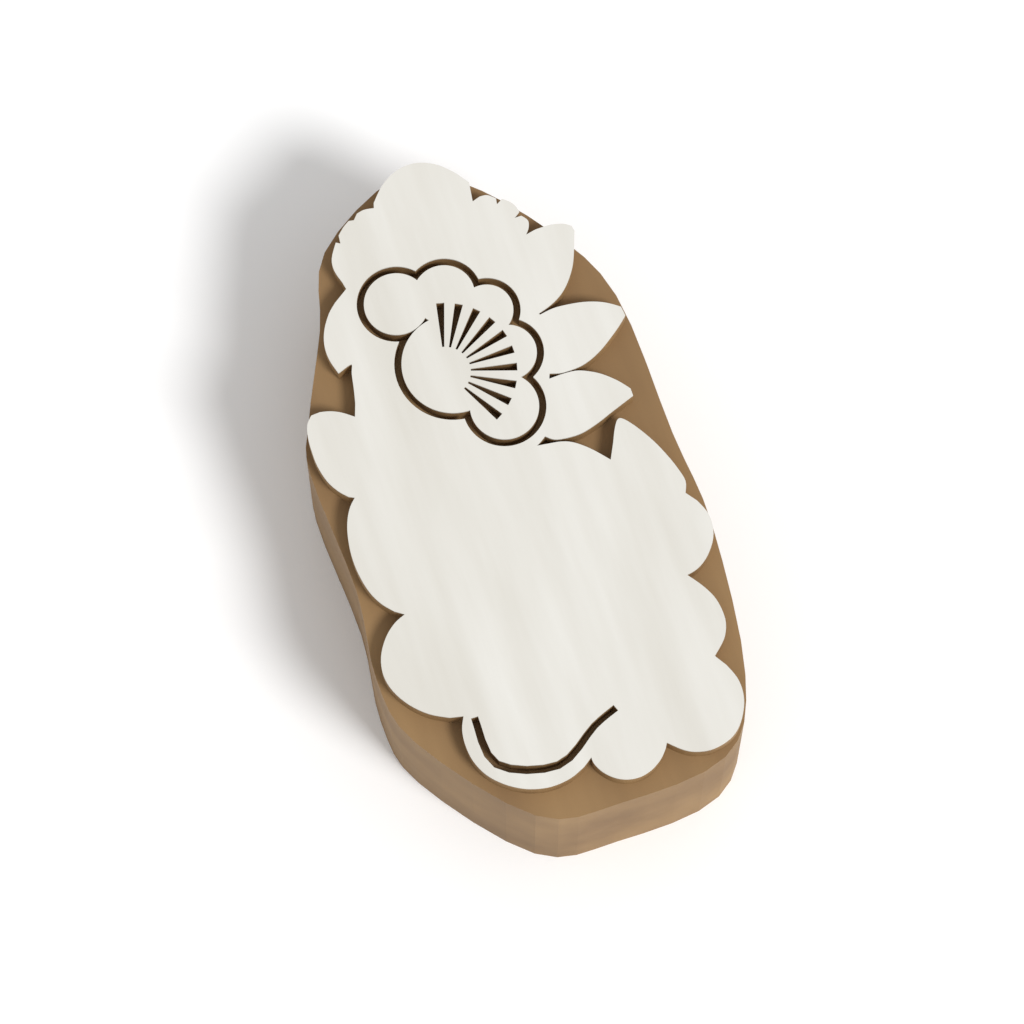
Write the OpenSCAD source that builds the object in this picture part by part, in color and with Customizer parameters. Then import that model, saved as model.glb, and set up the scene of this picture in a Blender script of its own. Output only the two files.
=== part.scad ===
// A hand-carved wooden printing block: a thick, roughly sawn block of wood with a raised
// pattern of a fan flower, buds, leaves and curling stems on its face. The pattern is
// carved in one depth, so every raised motif stands on the same cut-back ground.
// The face looks up, the block lies on its back, and +Y points to the top of the pattern.

/* [Block] */
// Length that the whole pattern and block are scaled to
block_length = 136; // [100:1:200]
// Full height from the back of the block to the printing face
block_height = 38; // [24:1:60]
// How far the sides of the block swell out below the ground
side_swell = 1; // [0:0.1:1.3]

/* [Carving] */
// Depth of the cut-back ground below the printing face
relief_depth = 4; // [2:0.5:8]
// Width of the carved lines against the drawn pattern
line_gain = 1; // [0.8:0.05:1.15]
// Straight steps in each drawn span of a curve
curve_steps = 4; // [3:1:8]

/* [Hidden] */
// The pattern and the block outline are drawn at this length
drawn_length = 136;
art = block_length / drawn_length;
ground_z = block_height - relief_depth;
wood_colour = [0.55, 0.38, 0.18];
face_colour = [0.93, 0.92, 0.88];

// A point of a Catmull-Rom curve between b and c, at t from 0 to 1
function between(a, b, c, d, t) =
    0.5 * (2 * b + (c - a) * t + (2 * a - 5 * b + 4 * c - d) * t * t
    + (3 * b - a - 3 * c + d) * t * t * t);

// The smooth open curve through the points p
function run(p) = [
    for (i = [0 : len(p) - 2])
        for (k = [0 : curve_steps - 1])
            between(p[max(i - 1, 0)], p[i], p[i + 1], p[min(i + 2, len(p) - 1)],
                k / curve_steps),
    p[len(p) - 1]
];

// The smooth closed curve through the points p
function ring(p) = [
    for (i = [0 : len(p) - 1])
        for (k = [0 : curve_steps - 1])
            between(p[(i + len(p) - 1) % len(p)], p[i], p[(i + 1) % len(p)],
                p[(i + 2) % len(p)], k / curve_steps)
];

// The direction square to the curve q at its point i
function square_to(q, i) =
    let (d = q[min(i + 1, len(q) - 1)] - q[max(i - 1, 0)], m = norm([d.x, d.y]))
    [-d.y / m, d.x / m];

// One side of a band whose points are [x, y, width]
function band_side(q, s, gain) = [
    for (i = [0 : len(q) - 1]) [q[i].x, q[i].y] + s * gain * q[i].z / 2 * square_to(q, i)
];

// A band of changing width along the points [x, y, width]
module band(p, gain = 1) {
    q = run(p);
    left = band_side(q, 1, gain);
    right = band_side(q, -1, gain);
    polygon(concat(left, [for (i = [len(right) - 1 : -1 : 0]) right[i]]));
}

// A carved line, which the gain makes wider or narrower
module line(p) {
    band(p, line_gain);
}

// An area with corners between its smooth runs
module area(runs) {
    polygon([for (r = runs) each (len(r) > 1 ? run(r) : r)]);
}

// A round-ended ray, left standing between two carved lines
module ray(p) {
    band(p);
    tip = p[len(p) - 1];
    translate([tip.x, tip.y]) circle(d = tip.z, $fn = 24);
}

// The outer edge of the whole raised pattern
module pattern_edge() {
    area([
        [[-23.6, 31.4], [-24.3, 34], [-24.5, 36.2], [-24.2, 38.5], [-23.2, 41], [-21.5, 43.5], [-19.7, 45.2]],
        [[-16.7, 47.2]],
        [[-17, 48.8], [-17.7, 51.5], [-17.4, 54], [-15.6, 56.9]],
        [[-14.8, 56.4]],
        [[-14.6, 58.1], [-13.2, 59.4], [-11.8, 60.3]],
        [[-10.8, 60.1]],
        [[-9.8, 61.2], [-8.2, 61.5], [-6.3, 61.2]],
        [[-6, 62.2], [-3.4, 65], [-0.5, 66.8], [2.5, 67.5], [5.5, 67.1], [8.5, 65.5], [11, 63], [13, 60.2]],
        [[12.4, 56.2]],
        [[14, 56.7], [15.5, 56.5], [16.9, 55.3]],
        [[16.7, 54.1]],
        [[18, 54.8], [19.2, 53.8], [20, 52.5], [20.3, 51.2]],
        [[19, 50.3]],
        [[20.4, 50.3], [21.3, 49], [21, 47.6], [20, 46.3]],
        [[22, 46.7], [25, 46.7], [27.5, 46.1], [29, 45.1]],
        [[29.2, 44], [27.5, 39.5], [26.3, 37], [24.5, 34.5], [22.5, 32.6], [20, 31.2], [17, 30.2]],
        [[17.2, 29.9], [20, 30.3], [23, 30.1], [26, 29.6], [28.5, 28.8], [30.5, 27.8], [32.6, 26.3]],
        [[32.8, 24.4], [31, 22.8], [29, 21.3], [26.5, 19.6], [24, 18.3], [21.5, 17.5], [19, 17.3], [17, 17.4], [15, 18]],
        [[14.6, 17]],
        [[17, 17.1], [19.8, 16.9], [22, 16.1], [24.5, 14.6], [27, 12.3], [28.8, 10]],
        [[28.8, 8.5], [24, 6.8], [20.5, 5.5], [17, 4.6], [14, 4.6], [11.5, 5.1], [10, 6.3]],
        [[9, 5.6]],
        [[7.9, 5], [10, 4.7], [12.5, 4.3], [14.5, 3.5], [16.5, 2], [18.3, 0.2], [20.4, -2.3]],
        [[22, 0.8], [23.3, 3.5], [24.5, 5], [25.7, 4.4], [27.5, 2], [29.5, -1.5], [31, -5], [32, -8], [32.6, -11], [31.8, -13.3]],
        [[33.4, -15.5], [34.4, -18], [34.6, -20.5], [33.8, -23.5], [31.5, -26.5], [29, -28.2], [26.6, -28.8]],
        [[27.5, -30], [29, -32.3], [30.2, -35], [30.6, -38], [30.3, -40.5], [29, -43], [26.2, -45.6]],
        [[27.7, -48], [28.8, -51], [28.9, -54], [28, -57], [26, -60], [23.5, -61.8], [20, -62.6], [17, -62.2], [14.5, -61], [11.9, -58.6]],
        [[11.3, -59.6], [9.8, -61.2], [7.5, -62.6], [5, -63.2], [2.5, -62.9], [0.3, -61.8], [-1.5, -60], [-2.5, -58], [-2.6, -56.6]],
        [[-4.5, -57.9], [-7.5, -59.1], [-11, -59.5], [-14, -59.1], [-17, -58], [-20, -56], [-22.5, -53.3], [-24, -50], [-24.4, -46.5], [-24, -43.5], [-22.9, -41.1]],
        [[-25.5, -40.5], [-29, -38.5], [-32, -35.5], [-34, -32], [-34.7, -28.5], [-34, -25], [-32, -21.8], [-29.5, -19.6], [-27, -18.5]],
        [[-28.7, -17.3], [-30.6, -15], [-32, -12], [-32.8, -8], [-32.9, -4], [-32.3, 0], [-31.3, 3], [-30, 5.2], [-28.6, 6.6]],
        [[-29.7, 7.2], [-31.2, 8.9], [-32.6, 11.5], [-33.4, 15], [-33.5, 18], [-33.3, 21], [-32.6, 23.5], [-31.3, 25]],
        [[-29.5, 25.1], [-27.5, 24.6], [-25.5, 23.6], [-23.4, 22]],
        [[-22.5, 24.5], [-21.8, 27.5], [-21.2, 30.5], [-20.6, 32.2], [-21.4, 32.2]]
    ]);
}

// The part of the raised pattern inside a zone, less what is carved away
module motif(zone) {
    color(face_colour) translate([0, 0, ground_z]) linear_extrude(relief_depth) scale(art)
        difference() {
            intersection() {
                pattern_edge();
                polygon(zone);
            }
            children();
        }
}

// The sawn wooden block under the pattern
module block() {
    color(wood_colour) linear_extrude(ground_z) scale(art)
        polygon(ring([[0, 67], [12, 62], [25, 47], [33, 30], [34, 0], [35, -20], [31, -50],
            [22, -64], [0, -66], [-16, -63], [-33, -42], [-36, -28], [-34, -10], [-35, 15],
            [-32, 25], [-24, 42], [-18, 57]]));
}

// The scalloped fan, with its carved rays
module fan_flower() {
    color(face_colour) translate([0, 0, ground_z]) linear_extrude(relief_depth) scale(art)
        difference() {
            fan_edge(0);
            for (a = [-60 : 15 : 75]) line([[5 * cos(a) - 4, 25 + 5 * sin(a), 0.4],
                [14 * cos(a) - 4, 25 + 14 * sin(a), 1.6]]);
        }
}

// The fan's scalloped edge, grown by g
module fan_edge(g) {
    for (c = [[-8.5, 41.1, 6.3], [0.9, 39.9, 6], [7.7, 34.2, 5.2], [8.8, 24.7, 5.6],
        [4.6, 14.6, 6.7], [-2, 26, 10]]) translate([c.x, c.y]) circle(c.z + g, $fn = 48);
}

// The buds and leaves round the fan
module upper_motifs() {
    motif([[-40, 0], [40, 0], [40, 70], [-40, 70]]) fan_edge(1.4);
}

// The stems and scrolls under the fan
module lower_motifs() {
    motif([[-40, 0], [40, 0], [40, -70], [-40, -70]])
        line([[-21, -42, 1.4], [-20, -52, 1.6], [-9, -56, 1.6], [0, -51, 1.4], [5, -49, 1.4]]);
}

block();
fan_flower();
upper_motifs();
lower_motifs();
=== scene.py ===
import math
import bpy
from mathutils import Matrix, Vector


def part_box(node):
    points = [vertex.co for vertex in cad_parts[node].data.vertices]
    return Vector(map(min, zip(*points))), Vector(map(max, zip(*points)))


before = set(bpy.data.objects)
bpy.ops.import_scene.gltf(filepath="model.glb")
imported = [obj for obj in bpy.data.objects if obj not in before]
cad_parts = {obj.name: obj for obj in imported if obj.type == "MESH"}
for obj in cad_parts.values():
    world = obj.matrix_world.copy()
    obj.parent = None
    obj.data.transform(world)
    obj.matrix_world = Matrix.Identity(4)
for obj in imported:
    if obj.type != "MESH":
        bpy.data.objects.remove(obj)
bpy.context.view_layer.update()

# Colours of the grain, noise cells in a metre, and how glossy each finish is
woodLook = {"dark": (0.13, 0.065, 0.025, 1), "light": (0.42, 0.26, 0.11, 1), "grainScale": 60.0, "roughness": 0.7}
faceLook = {"dark": (0.62, 0.59, 0.52, 1), "light": (0.84, 0.83, 0.79, 1), "grainScale": 140.0, "roughness": 0.6}
grainLook = {"stretch": (1.0, 0.12, 1.0), "detail": 8.0, "bumpStrength": 0.3, "bumpDistance": 0.0005}
faceLayer = 0.0004
backdropLook = {"size": 8, "white": (1, 1, 1, 1), "skyStrength": 0.6}
keyLook = {"energy": 2.2, "angle": 0.3, "tiltX": 35, "tiltY": 25}
cameraLook = {"sensor": 36, "lens": 183, "aim": (-0.001, -0.006, 0.038), "back": (-0.09, -0.26, 0.96)}


# A value in a material: the operators join it to another value or number through a Math node
class Value:
    def __init__(self, material, socket):
        self.material = material
        self.socket = socket

    def math(self, operation, first, second):
        return self.material.node("ShaderNodeMath", {"operation": operation}, {0: first, 1: second}, 0)

    def __add__(self, other):
        return self.math("ADD", self, other)

    def __radd__(self, other):
        return self.math("ADD", other, self)

    def __sub__(self, other):
        return self.math("SUBTRACT", self, other)

    def __rsub__(self, other):
        return self.math("SUBTRACT", other, self)

    def __gt__(self, other):
        return self.math("GREATER_THAN", self, other)


# A material's node tree and its shader
class Finish:
    def __init__(self, name):
        self.data = bpy.data.materials.new(name)
        self.data.use_nodes = True
        self.tree = self.data.node_tree
        self.shader = self.tree.nodes["Principled BSDF"]

    # Sets a socket to a number or colour, or links it to a value
    def feed(self, socket, value):
        if isinstance(value, Value):
            self.tree.links.new(value.socket, socket)
        else:
            socket.default_value = value

    # Any node, by its type, its settings and what its sockets hold; gives the output asked for
    def node(self, kind, settings, sockets, output):
        made = self.tree.nodes.new(kind)
        for key, value in settings.items():
            setattr(made, key, value)
        for key, value in sockets.items():
            self.feed(made.inputs[key], value)
        return Value(self, made.outputs[output])

    # The first colour where the factor is 0, the second where it is 1
    def mix(self, factor, first, second):
        return self.node("ShaderNodeMix", {"data_type": "RGBA"}, {0: factor, 6: first, 7: second}, 2)


# Noise stretched along the grain, which mixes a dark and a light colour and gives a fine bump
def makeGrain(finish, look, place):
    stretched = finish.node("ShaderNodeMapping", {}, {"Vector": place, "Scale": grainLook["stretch"]}, 0)
    noise = {"Vector": stretched, "Scale": look["grainScale"], "Detail": grainLook["detail"]}
    return finish.node("ShaderNodeTexNoise", {}, noise, 0)


# Connects the colour and the grain's bump to the shader
def dress(finish, look, colour, grain):
    finish.feed(finish.shader.inputs["Base Color"], colour)
    bump = {"Height": grain, "Strength": grainLook["bumpStrength"], "Distance": grainLook["bumpDistance"]}
    finish.feed(finish.shader.inputs["Normal"], finish.node("ShaderNodeBump", {}, bump, 0))
    finish.shader.inputs["Roughness"].default_value = look["roughness"]
    return finish.data


# Plain brown wood
def makeWood():
    finish = Finish("wood")
    place = finish.node("ShaderNodeTexCoord", {}, {}, "Object")
    grain = makeGrain(finish, woodLook, place)
    return dress(finish, woodLook, finish.mix(grain, woodLook["dark"], woodLook["light"]), grain)


# Whitened on the printing face and brown on the carved walls below it
def makeFace():
    finish = Finish("face")
    place = finish.node("ShaderNodeTexCoord", {}, {}, "Object")
    grain = makeGrain(finish, faceLook, place)
    white = finish.mix(grain, faceLook["dark"], faceLook["light"])
    brown = finish.mix(grain, woodLook["dark"], woodLook["light"])
    height = finish.node("ShaderNodeSeparateXYZ", {}, {"Vector": place}, 2)
    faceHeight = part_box("upper_motifs")[1].z
    onFace = height > faceHeight - faceLayer
    return dress(finish, faceLook, finish.mix(onFace, brown, white), grain)


# A white floor under a white sky
def makeBackdrop():
    bpy.ops.mesh.primitive_plane_add(size=backdropLook["size"])
    floor = bpy.context.object
    paper = Finish("floor")
    paper.shader.inputs["Base Color"].default_value = backdropLook["white"]
    floor.data.materials.append(paper.data)
    world = bpy.data.worlds.new("world")
    world.use_nodes = True
    world.node_tree.nodes["Background"].inputs[0].default_value = backdropLook["white"]
    world.node_tree.nodes["Background"].inputs[1].default_value = backdropLook["skyStrength"]
    bpy.context.scene.world = world


# One soft key lamp
def makeKey():
    key = bpy.data.objects.new("key", bpy.data.lights.new("key", "SUN"))
    key.data.energy = keyLook["energy"]
    key.data.angle = keyLook["angle"]
    key.rotation_euler = (math.radians(keyLook["tiltX"]), math.radians(keyLook["tiltY"]), 0)
    bpy.context.collection.objects.link(key)


# A steep view from the foot of the pattern, one metre away
def makeCamera():
    camera = bpy.data.objects.new("camera", bpy.data.cameras.new("camera"))
    camera.data.sensor_width = cameraLook["sensor"]
    camera.data.lens = cameraLook["lens"]
    away = Vector(cameraLook["back"]).normalized()
    camera.location = Vector(cameraLook["aim"]) + away
    camera.rotation_euler = away.to_track_quat("Z", "Y").to_euler()
    bpy.context.collection.objects.link(camera)
    bpy.context.scene.camera = camera


wood = makeWood()
face = makeFace()
for piece in [o for o in bpy.data.objects if o.type == "MESH"]:
    piece.data.materials.clear()
    piece.data.materials.append(wood if "block" in piece.name else face)
print("materials set")

makeBackdrop()
makeKey()
makeCamera()
bpy.context.scene.view_settings.view_transform = "Standard"
print("stage set")
